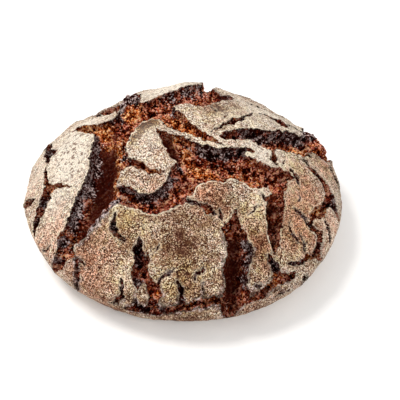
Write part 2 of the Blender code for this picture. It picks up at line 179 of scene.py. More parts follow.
# Cracks, each as a route of (x, y, half width).
CRACKS = (
    # left side
    ((-156, -26, 4), (-150, -26, 4.5), (-144, -27, 3.5), (-139, -30, 1.5), (-133, -30, 0.5)),
    ((-52, -80, 0.7), (-54.5, -85, 2), (-56, -90, 2.6), (-53.5, -96, 2), (-49, -100, 1.4),
     (-47, -103, 0.5)),
    ((-92, -101, 1.4), (-90.5, -108, 1.3), (-92, -115, 1.7), (-91.5, -121, 1.4), (-97, -125, 1.2),
     (-108, -130, 1.4), (-116, -132, 0.5)),
    ((-89, -104, 0.4), (-85, -108, 0.7), (-83, -112, 0.4)),
    # right-hand plate
    ((22, -11, 0.5), (28, -4, 0.8), (33, 1, 1.6), (40, 6.5, 2.2), (47.5, 10.5, 1.7), (49.5, 17.5, 1),
     (55, 22.5, 1.6), (56, 30, 0.9), (58, 35, 0.4)),
    ((91, 33, 0.6), (95, 38, 2), (102, 41.5, 2.5), (110, 41, 1.5)),
    ((23, 25, 0.5), (25, 21, 1.2), (28, 18, 0.5)),
    ((32.5, 9, 0.4), (35, 13, 0.7), (36, 17, 0.4)),
    ((62, 49, 0.5), (68, 50, 1.2), (74, 49, 0.5)),
    ((72, -11, 1.2), (73.5, -18, 2.4), (73.5, -24, 2.6), (78, -28, 0.8)),
    ((88, -26, 0.6), (93, -29, 1.5), (96, -33, 1.4), (98, -37, 0.5)),
    ((84, -17, 0.3), (83, -22, 0.6), (81, -26, 0.3)),
    ((104, -7, 1), (107, -6.5, 2.2), (109.5, -10, 1)),
    ((109, 5, 1.2), (113, 7, 2.4), (116, 10, 1)),
    # right side
    ((108, -110, 0.8), (112, -113, 3), (118, -116, 3), (125, -118, 1)),
    ((140, 19, 0.8), (144, 11, 3), (147, 4, 3.4), (151, -5, 1.2)),
    ((92, -62, 0.6), (96, -64.5, 1.4), (101, -66, 1.4), (105, -69, 1)),
    ((88, -77, 0.4), (92, -83, 0.9), (96, -88, 0.4)),
    ((99, -82, 0.4), (103, -87, 1), (105, -93, 0.8)),
    ((124, -56, 0.5), (130, -61, 1.6), (133, -67, 1.6), (134, -73, 0.5)),
    ((90, -107, 0.5), (95, -105, 1.2), (101, -103, 1.4), (105, -99, 1)),
    ((96, -46, 0.3), (98, -50, 0.6), (97, -54, 0.3)),
    ((86, -136, 0.5), (92, -130, 1.2), (102, -128, 1), (110, -123, 0.5)),
    # front
    ((-68, -147, 0.8), (-61, -146, 1.8), (-55, -142, 1.8), (-50, -141, 0.6)),
    ((-51, -129, 0.6), (-51.5, -134, 1.2), (-53, -139, 1), (-54, -142, 1)),
    ((-41, -143, 0.5), (-40.5, -148, 1.2), (-43, -152, 1)),
    ((-3, -76, 1), (5, -77.5, 1.2), (11, -76.5, 0.8), (17, -79.5, 2.2), (22, -82.5, 2), (26, -85.5, 0.5)),
    ((30, -80, 0.5), (30.5, -84, 1.2), (31, -89, 0.5)),
    ((61, -61, 0.8), (64, -64, 1.4), (66, -67, 0.6)),
    ((52, -79, 0.3), (56, -75, 0.6), (59, -70, 0.3)),
    ((-20, -135, 0.5), (-16, -131, 0.9), (-12, -129, 0.8), (-6, -126, 0.5)),
    ((-21, -113, 0.3), (-18, -111, 0.6), (-17, -109, 0.3)),
    ((12, -133, 0.5), (12.5, -129, 1), (16, -127, 0.7), (18, -124, 0.4)),
    ((-4, -134, 0.5), (-1, -137, 1.2), (0.5, -142, 1.2), (0, -149, 1)),
    ((19, -133, 0.3), (18, -138, 0.6), (19, -142, 0.3)),
    ((62, -130, 0.6), (66, -130, 1.2)),
    ((-132, -84, 0.4), (-123, -86, 0.8), (-116, -85, 0.4)),
    # back
    ((20, 66, 5), (22, 78, 6), (25, 96, 8), (22, 120, 7.5), (12, 146, 4.5), (9, 164, 1)),
    ((-52, 76, 4), (-66, 86, 5), (-82, 94, 7), (-98, 108, 6), (-116, 126, 1.5)),
    ((-50, 98, 1), (-36, 112, 5), (-30, 132, 7), (-36, 150, 4), (-34, 168, 1)),
    ((52, 84, 1), (68, 94, 5.5), (80, 112, 7), (82, 132, 4.5), (76, 150, 1)),
    ((-69, 40, 1), (-76, 44, 3), (-82, 50, 2), (-88, 62, 3), (-104, 66, 3.5), (-122, 76, 1)),
    ((54, 60, 0.5), (68, 68, 1.6), (86, 66, 2), (102, 76, 0.8)),
    ((-18, 86, 0.5), (-12, 100, 1.6), (-4, 114, 1.8), (6, 126, 1)),
    ((-70, 140, 0.6), (-58, 130, 2), (-46, 132, 1.2)),
    ((102, 106, 0.6), (114, 100, 2), (124, 108, 1)),
)

# Where the crust or the torn floor stands up or lies low: (x, y, reach, rise).
SWELLS = (
    # torn block at the back left of the crown, and the outer left plate
    (-55, 57, 8, 4.5), (-43, 59, 9, 3), (-138, 8, 15, -2.5), (-47, 42, 9, 2.5),
    # right-hand plate along the right tear, and the tear's burnt end
    (52, 10, 12, 2.5), (72, 19, 13, 3), (94, 30, 13, 2.5), (126, 44, 16, 3.5),
    # back plates
    (6, 74, 20, 4.5), (-28, 66, 14, -2.5), (-74, 64, 14, -12), (-76, 82, 18, -10), (60, 68, 20, -3),
    (42, 66, 16, 2.5),
    # front plate's upper edge
    (26, -67, 15, 3), (63, -63, 10, 3.5), (-48, -80, 15, 3), (-84, -100, 10, 2.5),
    # heart-shaped plate and thin ridge
    (-26, -26, 22, 3), (9, -20, 8, 1), (26, -23, 8, 1),
    # spur, right-hand plate's corner and the small burnt flake
    (-60, 47, 9, -5), (2, 14, 13, 2.5), (-77, 46, 3, 6),
)

# Painted places on the crust and on the torn crumb: (x, y, reach, amount).
# Flour, and painted light on the patch at the right edge, which faces away from the key lamp.
FLOURED_AND_LIT = (
    (-98, 10, 30, 0.2), (-95, -20, 24, 0.25), (-112, -65, 22, 0.45), (-142, -10, 22, 0.35),
    (-135, 50, 30, 0.4), (-85, 42, 18, 0.5), (-15, 65, 32, 0.6), (75, 46, 32, 0.6), (100, 38, 16, 0.5),
    (50, 11, 13, 0.5), (-26, -28, 15, 0.3), (-26, -58, 12, 0.1), (66, -20, 15, 0.75), (16, -20, 11, 0.35),
    (36, -19, 10, 0.4), (90, -19, 14, 0.35), (-50, -128, 10, 0.8), (-19, -92, 14, 0.05),
    (61, -70, 9, 0.6), (131, -57, 13, 0.9), (36, -158, 12, 0.3), (94, -50, 13, 0.4), (128, -6, 10, 0.4),
    (132, -20, 12, 0.4), (28, 10, 12, 0.3), (56, 26, 10, 0.3), (10, 2, 10, 0.4),
)
WHITE = (
    (-96, 12, 24, 1), (-94, -20, 22, 1), (-110, -48, 15, 0.5), (-135, 40, 20, 0.4), (-80, 40, 16, 0.8),
    (-15, 65, 30, 1), (75, 46, 26, 0.7), (64, -19, 16, 0.8), (-24, -16, 12, 0.4), (39, 12, 12, 0.4),
    (-140, 0, 16, 0.4), (134, -30, 10, 0.4),
)
# Browned crust, and painted shade on the front plate, which faces away from the key lamp, and along the low
# front rim by the floor.
BROWNED_AND_SHADED = (
    (0, -110, 20, 0.6), (3, -94, 15, 0.2), (-76, -112, 20, 0.15), (44, 22, 12, 0.25), (24, -72, 17, 0.4),
    (20, -136, 16, 0.1), (64, -104, 15, 0.48), (0, -172, 30, 0.7), (70, -164, 30, 0.6),
    (-65, -160, 30, 0.5), (-40, -24, 3.5, 0.5), (-37, -16, 5, 0.6), (-31, -5, 7, 1), (-24, 0, 6, 0.8),
    (20, 12, 10, 0.2), (-45, -105, 16, 0.3), (-78, -96, 10, 0.4), (26, 24, 8, 0.8), (44, 36, 6, 0.5),
    (-10, -98, 16, 0.2),
)
PINK = (
    (95, -75, 26, 0.9), (105, -38, 19, 0.8), (130, 8, 18, 0.7), (-116, -76, 24, 0.6),
    (-76, -106, 22, 0.5), (132, -56, 18, 0.5), (-84, -135, 26, 0.6), (-140, -10, 20, 0.4),
    (20, -70, 18, 0.8), (-25, -60, 12, 0.4), (60, -140, 25, 0.4), (64, -98, 16, 0.5),
)
OLIVE = (
    (-52, -86, 16, 0.8), (0, -136, 30, 0.7), (-38, -18, 5, 0.9), (-32, -7, 7, 1), (-23, 0, 7, 1),
    (94, -22, 16, 0.6), (-34, -98, 18, 0.4), (30, -90, 16, 0.4), (-52, -132, 14, 0.5), (26, 14, 18, 0.4),
    (50, -82, 12, 0.5), (95, -88, 18, 0.5), (94, -56, 18, 0.4), (64, -106, 16, 0.5), (62, -74, 12, 0.4),
    (50, 24, 18, 0.3), (128, 4, 16, 0.4),
)
BURNT = (
    # left plate's wall
    (-73, 2, 5, 1.1), (-74, -8, 5, 1.1), (-74, -19, 5, 1.1), (-74, -30, 6, 1.1), (-79, -42, 7, 1.1),
    (-83, -52, 8, 1.1), (-90, -61, 9, 1.1), (-93, -73, 8, 1.1), (-105, -86, 5.5, 1), (-114, -98, 5, 0.8),
    # front plate's edge in the left tear
    (-82, -89, 6, 1.2), (-74, -84, 6, 1.2), (-67, -79, 6, 1.2), (-61, -74, 6, 1.2), (-55, -70, 5, 1),
    (-82, -83, 5, 1.2), (-73, -78, 5, 1.2), (-65, -72, 5, 1.2), (-58, -67, 5, 1),
    # under the heart-shaped plate and the thin ridge, where the black is partly painted shade under the
    # overhang
    (-44, -38, 4, 1.3), (-44, -15, 5, 0.9), (-46, -26, 4, 0.9), (-39, -6, 5, 0.8), (-46, -64, 6, 1),
    (-34, -70, 6, 1), (-23, -71, 6, 1), (-13, -65, 6, 1), (-7, -56, 5, 0.9), (-1, -48, 5, 0.9),
    (3, -24, 5, 0.4), (14, -28, 6, 0.8), (24, -31, 8, 1.1), (34, -31, 8, 1.2), (46, -25, 6, 0.8),
    # back plate's wall, block and flake
    (-30, 40, 5, 0.6), (-21, 47, 5, 0.6), (-10, 53, 6, 0.6), (1, 60, 7, 0.6), (12, 67, 7, 0.7),
    (-58, 47, 6, 1.4), (-54, 54, 9, 1.4), (-44, 55, 9, 1.3), (-54, 66, 10, 1.2), (-76, 44, 7, 1.2),
    (-69, 22, 5, 0.7), (-57, 22, 7, 1.2), (-39, 9, 5, 0.8), (-49, 10, 5, 0.5), (-45, 21, 5, 0.5),
    (-16, 32, 13, 0.32), (14, 46, 10, 0.25), (36, 49, 5, 1), (-8, 19, 4, 0.9), (-7, 12, 4, 0.7),
    # right tear's upper wall
    (35, -11, 5, 0.6), (46, -4, 5.5, 0.8), (56, -1, 5.5, 0.8), (66, 2, 5.5, 0.9), (76, 7, 6, 1),
    (85, 16, 5.5, 1), (93, 21, 5.5, 1.1), (101, 25, 6, 1.1), (108, 33, 7, 1.1), (110, 45, 8, 1.2),
    (120, 53, 9, 1.2), (129, 55, 8, 1.1), (118, 68, 11, 1),
    # cracks
    (-123, -42, 9, 0.9), (-132, -56, 8, 0.6), (-126, 32, 10, 1), (-123, 16, 8, 1), (-122, 0, 6, 0.5),
    (35, -103, 6, 1), (34, -116, 6, 1), (35, -130, 6, 1), (55, -104, 6, 1.1), (56, -114, 6, 1.1),
    (53, -128, 6, 1), (-36, -108, 6, 0.9), (-36, -120, 6, 0.9), (-37, -132, 6, 0.8), (120, -18, 8, 0.7),
    (136, -36, 8, 0.9), (108, -72, 5, 0.9), (118, -80, 7, 0.8), (-56, -90, 4, 1), (78, -112, 6, 1),
    (-18, -154, 7, 0.8), (-36, -154, 8, 0.8), (116, -115, 8, 1), (107, -7, 4, 1), (82, 31, 9, 0.5),
    (146, 6, 8, 0.8), (102, 41, 5, 0.8),
)
# Orange crumb, partly its own colour and partly painted light where the torn floor and walls face the
# lamps.
LIT_ORANGE = (
    (-20, 10, 9, 0.4), (-8, 2, 8, 0.8), (2, -8, 7, 1.2), (12, -16, 6, 1.2), (24, -21, 4, 1),
    (-88, 26, 8, 1), (-74, 15, 8, 1.2), (-62, 13, 6, 0.6), (-66, 7, 5, 1), (-64, -4, 4, 0.9),
    (-53, -4, 5, 0.8), (-53, -14, 5, 1.1), (-53, -26, 5, 1.2), (-53, -42, 5, 1.2), (-55, -54, 5, 0.8),
    (4, -37, 5, 0.6), (13, -46, 7, 1), (24, -49, 7, 0.6), (40, -49, 7, 0.4), (56, -46, 8, 0.5),
    (69, -48, 6, 0.4), (-6, -19.5, 3.5, 0.8), (2, -27, 4, 0.9), (-44, 32, 8, 1), (-42, 46, 6, 0.5),
    (76, 0, 6, 0.3), (92, 5, 8, 0.5), (103, 8, 8, 0.6), (116, 22, 8, 0.5), (-54, -64, 5, 0.4),
    (-22, -51, 5, 0.8), (-32, -45, 5, 0.5), (-113, -33, 5, 0.8), (-100, -38, 5, 0.8), (-120, -23, 5, 0.4),
    (-104, -102, 8, 0.4), (-106, -82, 5, 0.5), (29, -144, 6, 0.4), (78, -122, 7, 0.7), (122, -48, 7, 0.6),
    (112, -60, 6, 0.5), (112, -94, 7, 0.4), (-49, -100, 4, 0.8), (-21, -140, 5, 0.3),
)
# Where the torn floor comes up towards the crust: (x, y, reach, share).
FILLED = (
    # block at the back left
    (-49, 59, 13, 1), (-47, 40, 9, 0.6),
    # near side and burnt end of the right tear
    (46, -11, 7, 0.5), (62, -10, 8, 0.6), (78, -7, 9, 0.6), (94, 1, 10, 0.6), (106, 10, 10, 0.6),
    (122, 26, 11, 0.6), (136, 38, 12, 0.7), (122, 50, 14, 0.9), (134, 66, 16, 0.9),
    # behind the thin ridge
    (-20, 12, 10, 0.5), (-8, 4, 8, 0.5), (4, -6, 7, 0.6), (17, -14, 6, 0.6),
    # right side of the left tear
    (-53, -10, 7, 0.6), (-53, -30, 7, 0.6), (-54, -50, 7, 0.6),
    # spur and junction
    (-84, 24, 9, 0.5), (-72, 14, 9, 0.4), (-60, 11, 10, 0.6),
    # under the back plate
    (16, 56, 12, 0.4), (26, 46, 9, 0.4),
    # along the front plate's edge
    (8, -52, 9, 0.35), (24, -52, 8, 0.35), (44, -49, 8, 0.35), (64, -50, 8, 0.35), (-26, -78, 7, 0.4),
    (-8, -72, 7, 0.4), (6, -64, 7, 0.4), (-102, -102, 9, 0.4), (-80, -85, 7, 0.6), (-68, -76, 7, 0.6),
    (-58, -69, 6, 0.5),
    # cracks
    (-92, -120, 10, 0.6), (122, -48, 9, 0.5), (116, -94, 8, 0.6), (80, -122, 9, 0.5), (66, -136, 9, 0.6),
    (-16, -154, 14, 0.5), (16, -149, 14, 0.5), (-44, -152, 12, 0.5), (-22, -142, 7, 0.3),
    (-118, -26, 8, 0.5), (-104, -36, 8, 0.5), (-122, 0, 10, 0.4), (-26, -48, 8, 0.5),
)
# Where the torn floor lies deeper, which the material also paints darker as painted shade: (x, y, reach,
# millimetres).
DEEPER_AND_SHADED = (
    (-37, -113, 7, 3), (-37, -124, 7, 4), (-124, -42, 9, 4), (-132, -55, 8, 3), (-124, 30, 8, 3),
    (118, -82, 6, 3), (112, -71, 5, 3), (134, -32, 7, 3), (120, -17, 6, 3), (76, -66, 6, 3),
    (76, -82, 6, 3), (76, -96, 4, 3), (-43, -41, 3.5, 4), (-14, -26, 4, 5), (-9, -33, 4, 5),
    (-2, -38, 4, 3), (24, -33, 9, 4), (40, -8, 6, 3), (54, -3, 7, 3), (68, 1, 7, 3), (82, 8, 7, 2),
    (-65, -25, 10, 2.5), (-66, -45, 10, 2.5), (-74, -62, 10, 2), (-90, -84, 10, 1.5), (45, -112, 9, 2),
    (44, -132, 9, 2), (82, 31, 8, 3), (-49, 12, 7, 2.5), (-18, -70, 7, 2), (-36, -70, 7, 2),
    (-4, -58, 7, 2), (86, -34, 4, 3), (78, -113, 5, 3), (2, 52, 9, 1.5), (-55, -90, 5, 1),
    (115, -115, 7, 2),
)
# Crust singed black along its edge.
SINGED = (
    (-84, -95, 5, 0.9), (-76, -91, 5, 0.9), (-68, -86, 4.5, 0.9), (-61, -82, 4, 0.8), (31, -104, 7, 1),
    (31, -118, 7, 1), (31, -130, 7, 1), (30, -142, 8, 1), (59, -110, 6, 0.8), (58, -124, 6, 0.8),
    (60, -136, 7, 0.8), (-45, -152, 15, 0.9), (-20, -156, 15, 0.9), (5, -152, 15, 0.8),
    (24, -149, 12, 0.9), (36, -160, 12, 0.9), (54, -156, 12, 0.8), (74, -136, 10, 0.8),
    (89, -122, 10, 0.8), (70, -112, 6, 0.7), (-93, -108, 9, 0.7), (-96, -124, 10, 0.8),
    (-112, -132, 12, 0.6), (-114, -98, 8, 0.6), (-136, 42, 12, 0.9), (-124, 18, 8, 0.6),
    (-56, 22, 8, 0.8), (-65, 60, 8, 0.8), (-26, 46, 8, 0.5), (34, 54, 10, 0.9), (-10, 56, 8, 0.4),
    (106, 32, 10, 0.9), (140, 34, 10, 0.9), (126, 18, 8, 0.6), (126, -86, 8, 0.7), (116, -114, 10, 0.9),
    (134, -30, 8, 0.6), (-46, -34, 5, 0.8), (-49, -56, 5, 0.7), (-9, -46, 5, 0.5), (-33, -108, 5, 0.5),
    (22, 90, 30, 0.7), (-80, 94, 25, 0.7), (80, 116, 25, 0.7), (-30, 130, 25, 0.7),
)
# Edges of the crust with a pale lip, partly floury dust and partly a painted highlight.
LIT_LIPS = (
    (-86, -96, 8, 0.8), (-74, -89, 8, 1), (-62, -81, 8, 1), (-50, -72, 8, 0.9), (-36, -79, 8, 0.5),
    (-22, -82, 8, 0.7), (-6, -77, 8, 0.6), (12, -66, 8, 0.6), (26, -59, 8, 0.7), (40, -53, 8, 1),
    (54, -58, 8, 1), (66, -56, 6, 0.9), (-76, 4, 8, 0.6), (-77, -16, 10, 0.8), (-78, -36, 10, 0.8),
    (-92, -54, 10, 0.8), (-100, -74, 10, 0.6), (-42, -28, 7, 0.9), (-40, -14, 7, 0.9), (-32, 0, 8, 0.8),
    (24, -14, 12, 0.8), (6, 2, 8, 0.9), (-6, 18, 7, 0.8), (56, 4, 12, 0.8), (84, 19, 12, 0.8),
    (52, -28, 10, 0.8), (82, -31, 8, 0.8), (66, -76, 8, 0.6), (70, -94, 8, 0.6), (-24, 44, 10, 0.4),
    (4, 64, 12, 0.4), (-122, -16, 16, 0.6), (118, -72, 12, 0.6), (136, -30, 12, 0.5), (32, -120, 12, 0.5),
    (57, -120, 12, 0.4),
)
# Burnt walls that face the key lamp: painted light, as a paler cinder with many painted glints on it.
LIT_WALLS = (
    (-74, -4, 9, 0.7), (-74, -20, 9, 1), (-75, -35, 9, 0.9), (-82, -49, 8, 0.7), (-90, -59, 9, 0.8),
    (-96, -73, 9, 0.7), (-105, -90, 9, 0.8), (-84, -88, 7, 1), (-76, -83, 7, 1), (-68, -77, 7, 1),
    (-60, -72, 7, 1), (-53, -68, 6, 0.8), (-47, -16, 5, 0.7), (-46, -30, 5, 0.7), (-2, -45, 4, 0.9),
    (-8, -56, 5, 0.4), (-22, 46, 8, 0.4), (-4, 55, 10, 0.6), (10, 64, 8, 0.5), (-124, -42, 8, 0.5),
    (-7, 19, 4, 0.6), (30, -25, 6, 0.4), (34, -88, 6, 0.4),
)
# Crust with a net of hairline cracks.
CHAPPED = (
    (5, -134, 24, 1), (-44, -136, 16, 1), (64, -120, 12, 0.8), (100, -84, 22, 1), (130, -62, 12, 1),
    (100, -42, 16, 0.6), (36, 12, 22, 0.8), (66, 36, 20, 0.6), (26, -70, 14, 0.8), (56, -80, 12, 0.8),
    (130, 4, 16, 0.6), (86, -128, 20, 0.8), (-86, -134, 26, 0.8), (-20, -158, 30, 0.8),
    (-78, -104, 12, 0.5), (-10, 120, 50, 0.6), (-110, 100, 40, 0.6), (110, 90, 40, 0.6),
    (-140, -80, 24, 0.5), (-115, -80, 12, 0.5),
)
# Smooth dark floors of the widest tears.
VALLEYS = (
    (-13.5, -20, 4, 1.4), (-10, -26, 4.5, 1.5), (-6, -32, 4, 1.3), (-59, 6, 4.5, 1.2), (-65, -9, 7, 1.2),
    (-64.5, -20, 9, 1.6), (-64, -33, 9, 1.7), (-66, -46, 9.5, 1.7), (-71, -58, 9, 1.6),
    (-79, -69, 8.5, 1.3), (-89, -82, 8, 0.8), (5, 29, 6, 1), (16, 44, 7, 0.8), (45, -104, 7, 1.2),
    (45, -120, 8, 1.4), (44, -136, 8, 1.4), (44, -152, 8, 1.2), (75, -54, 5, 1), (75, -66, 5, 1.2),
    (74.5, -80, 5, 1.2), (75, -94, 4, 0.9), (6, -59, 6, 0.6), (54, -49, 8, 0.4),
)

# Paints that the material reads as they are.
PAINTS = {
    "pink": PINK, "olive": OLIVE, "chapped": CHAPPED, "singed": SINGED, "white": WHITE, "lit_wall": LIT_WALLS,
}


# ---- Noise ----
def noise_tables():
    """A shuffled order of 256 cells, and a slope for each."""
    chance = np.random.default_rng(SEED)
    order = np.concatenate([chance.permutation(256)] * 2)
    slopes = chance.normal(size=(256, 3))
    return order, slopes / np.linalg.norm(slopes, axis=1, keepdims=True)


NOISE_ORDER, NOISE_SLOPES = noise_tables()


def noise(points, size, seed=0):
    """Smooth gradient noise from about -1 to 1, with bumps about one size across."""
    at = points / size + 17.3 * seed
    cell = np.floor(at).astype(int)
    inside = at - cell
    weight = inside**3 * (inside * (inside * 6 - 15) + 10)
    total = np.zeros(len(points))
    for dx in (0, 1):
        for dy in (0, 1):
            for dz in (0, 1):
                key = NOISE_ORDER[(cell[:, 0] + dx) & 255]
                key = NOISE_ORDER[(key + cell[:, 1] + dy) & 255]
                key = NOISE_ORDER[(key + cell[:, 2] + dz) & 255]
                lean = (NOISE_SLOPES[key] * (inside - (dx, dy, dz))).sum(axis=1)
                share = np.abs(1 - dx - weight[:, 0]) * np.abs(1 - dy - weight[:, 1])
                total += share * np.abs(1 - dz - weight[:, 2]) * lean
    return 1.6 * total


def rough(points, size, octaves, seed=0, keep=0.5):
    """Noise with finer and finer bumps added."""
    return sum(noise(points, size / 2**k, seed + k) * keep**k for k in range(octaves))


CLOD_PLACES = np.random.default_rng(SEED + 1).random((256, 4))


def clods(points, size, seed=0):
    """Packed clods about one size across: distance from the clod's middle, and the clod's own chance."""
    at = points / size + 11.7 * seed
    cell = np.floor(at).astype(int)
    nearest = np.full(len(points), 9.0)
    chance = np.zeros(len(points))
    for step in np.ndindex(3, 3, 3):
        key = np.zeros(len(points), int)
        near = cell + step - 1
        for axis in range(3):
            key = NOISE_ORDER[(key + near[:, axis]) & 255]
        away = np.linalg.norm(near + CLOD_PLACES[key, :3] - at, axis=1)
        closer = away < nearest
        nearest[closer], chance[closer] = away[closer], CLOD_PLACES[key[closer], 3]
    return nearest, chance


def patch_of(flat, patch):
    """A soft round patch (x, y, reach, amount)."""
    x, y, reach, amount = patch
    away = (flat[:, 0] / MM - x) ** 2 + (flat[:, 1] / MM - y) ** 2
    return amount * np.exp(-away / reach**2)


def painted(flat, patches):
    """How much of a paint each place has, from 0 to 1."""
    return np.clip(sum(patch_of(flat, patch) for patch in patches), 0, 1)


# ---- The plain loaf ----
def crust_profile(steps=1600):
    """Arc length from the crown, radius and height along half a cross-section, to the base's last ring."""
    across = np.linspace(0.0, 1.0, steps)
    dome_r = RIM_RADIUS * across
    dome_z = RIM_HEIGHT + (CROWN_HEIGHT - RIM_HEIGHT) * (1 - across**2) ** DOME_POWER
    turn = np.linspace(0.0, math.pi / 2, steps // 4)[1:]
    side_r = BASE_RADIUS + (RIM_RADIUS - BASE_RADIUS) * np.cos(turn)
    side_z = RIM_HEIGHT * (1 - np.sin(turn))
    base_r = BASE_RADIUS * np.linspace(1.0, BASE_RINGS[-1], steps // 4)[1:]
    r = np.concatenate([dome_r, side_r, base_r])
    z = np.concatenate([dome_z, side_z, np.zeros_like(base_r)])
    s = np.concatenate([[0.0], np.cumsum(np.hypot(np.diff(r), np.diff(z)))])
    return s, r, z


PROFILE_S, PROFILE_R, PROFILE_Z = crust_profile()
EDGE_S = PROFILE_S[-1] - BASE_RADIUS * (1 - BASE_RINGS[-1])  # where the side meets the base


def crust_point(flat):
    """The plain loaf's surface at flat crust places, in metres."""
    s = np.hypot(flat[:, 0], flat[:, 1])
    angle = np.arctan2(flat[:, 1], flat[:, 0])
    waves = (size * np.cos(count * (angle - math.radians(crest))) for count, size, crest in OUTLINE_WAVES)
    r = np.interp(s, PROFILE_S, PROFILE_R) * (1 + sum(waves))
    z = np.interp(s, PROFILE_S, PROFILE_Z)
    return np.stack([r * np.cos(angle), r * np.sin(angle), z], axis=-1)


def crust_frame(flat, step=0.3 * MM):
    """Two vectors along the plain loaf's surface, for x and y of the flat crust, and its outward normal."""
    across = (crust_point(flat + (step, 0)) - crust_point(flat - (step, 0))) / (2 * step)
    along = (crust_point(flat + (0, step)) - crust_point(flat - (0, step))) / (2 * step)
    normal = np.cross(across, along)
    return across, along, normal / np.linalg.norm(normal, axis=1, keepdims=True)


def opened_out(flat):
    """The crust laid out so that every angle is kept, for the triangulation."""
    s = np.hypot(flat[:, 0], flat[:, 1])
    beyond = PROFILE_S > MM
    rate = 1 / PROFILE_R[beyond]
    growth = np.cumsum((rate[1:] + rate[:-1]) / 2 * np.diff(PROFILE_S[beyond]))
    reach = MM * np.exp(np.interp(s, PROFILE_S[beyond][1:], growth))
    return flat * np.where(s < MM, 1.0, reach / np.maximum(s, MM))[:, None]


# ---- Tears and cracks ----
def nearest_on_route(places, route, chunk=4000):
    """For each place: distance to the route, the way to it, and the half width there if it has one."""
    start, run = route[:-1, :2], np.diff(route[:, :2], axis=0)
    length = np.maximum((run**2).sum(axis=1), 1e-12)
    distance, toward, width = np.empty(len(places)), np.empty((len(places), 2)), np.zeros(len(places))
    for low in range(0, len(places), chunk):
        here = places[low:low + chunk]
        share = np.clip((here @ run.T - (start * run).sum(axis=1)) / length, 0.0, 1.0)
        dx = start[:, 0] + share * run[:, 0] - here[:, :1]
        dy = start[:, 1] + share * run[:, 1] - here[:, 1:]
        squared = dx * dx + dy * dy
        best = squared.argmin(axis=1)
        rows = np.arange(len(here))
        distance[low:low + chunk] = np.sqrt(squared[rows, best])
        toward[low:low + chunk] = np.stack([dx[rows, best], dy[rows, best]], axis=-1)
        if route.shape[1] > 2:
            at = route[:-1, 2][best] + share[rows, best] * np.diff(route[:, 2])[best]
            width[low:low + chunk] = at
    return distance, toward, width


def is_inside(places, outline):
    """Whether each place is inside a closed outline, by counting crossings."""
    inside = np.zeros(len(places), bool)
    for (ax, ay), (bx, by) in zip(outline[:-1], outline[1:]):
        crosses = (ay > places[:, 1]) != (by > places[:, 1])
        if ay != by:
            inside ^= crosses & (places[:, 0] < ax + (places[:, 1] - ay) * (bx - ax) / (by - ay))
    return inside


AREAS = [np.array([*outline, outline[0]], float) for outline in TORN_AREAS.values()]
ROUTES = [np.array(route, float) for route in CRACKS]


def near_line(places, line, spare=20):
    """Whether each place is in the box round a line, with some millimetres to spare."""
    low, high = line[:, :2].min(axis=0) - spare, line[:, :2].max(axis=0) + spare
    return np.all((places > low) & (places < high), axis=1)


def area_fields(places, outline, steepness):
    """Gap, way out, depth and half width of a torn area, at places near it."""
    distance, toward, _ = nearest_on_route(places, outline)
    inside = is_inside(places, outline)
    gap = np.where(inside, -distance, distance)
    way = toward / np.maximum(distance, 1e-6)[:, None] * np.where(inside, 1, -1)[:, None]
    t = np.maximum(-gap, 0) * steepness
    depth = WALL_DEPTH * ease(t / WALL_RUN) + FLOOR_DEPTH * ease(t / FLOOR_RUN)
    return gap, way, depth, np.full(len(places), WIDE)


def crack_fields(places, route, _steepness):
    """The same for a crack."""
    distance, toward, width = nearest_on_route(places, route)
    width = np.maximum(width + 0.35 * np.minimum(width, 1), LEAST_CRACK)
    gap = distance - width
    way = -toward / np.maximum(distance, 1e-6)[:, None]
    share = np.clip(1 - distance / width, 0, 1)
    depth = np.minimum(2.2 * width, 3 + 0.9 * width) * (1 - (1 - share) ** 2) ** 0.6
    return gap, way, depth, width


def torn_fields(flat):
    """Gap to the nearest crust edge (negative where torn), depth, way out of the tear and its half width.

    The way out is a unit vector on the crust's map, and the rest is in millimetres.
    """
    points = crust_point(flat)
    wander = np.stack([rough(points, 7 * MM, 3, seed, 0.8) for seed in (20, 30)], axis=-1)
    places = flat / MM + WANDER * wander
    steepness = 1 + 0.45 * noise(points, 8 * MM, 16)
    gap, depth = np.full(len(flat), 99.0), np.zeros(len(flat))
    outwards, span = np.zeros((len(flat), 2)), np.full(len(flat), WIDE)
    for fields_of, lines in ((area_fields, AREAS), (crack_fields, ROUTES)):
        for line in lines:
            near = near_line(places, line)
            signed, way, drop, half = fields_of(places[near], line, steepness[near])
            closer = signed < gap[near]
            rows = np.flatnonzero(near)[closer]
            gap[rows], outwards[rows], span[rows] = signed[closer], way[closer], half[closer]
            depth[near] = np.maximum(depth[near], drop)
    return gap, depth, outwards, span


def ease(t):
    """Smooth step from 0 to 1."""
    t = np.clip(t, 0.0, 1.0)
    return t * t * (3 - 2 * t)


# ---- The mesh ----
def ring(s, count, turn=0.0):
    """Evenly spaced places at one distance from the crown."""
    angle = (np.arange(count) + turn) * 2 * math.pi / count
    return s * np.stack([np.cos(angle), np.sin(angle)], axis=-1)


def rings(step, outer):
    """Places all over the crust from the crown out, about one step apart."""
    found = [np.zeros((1, 2))]
    for number, s in enumerate(np.arange(step, outer, step * math.sqrt(3) / 2)):
        count = round(2 * math.pi * np.interp(s, PROFILE_S, PROFILE_R) / step)
        found.append(ring(s, count, 0.5 * (number % 2)))
    return np.vstack(found)


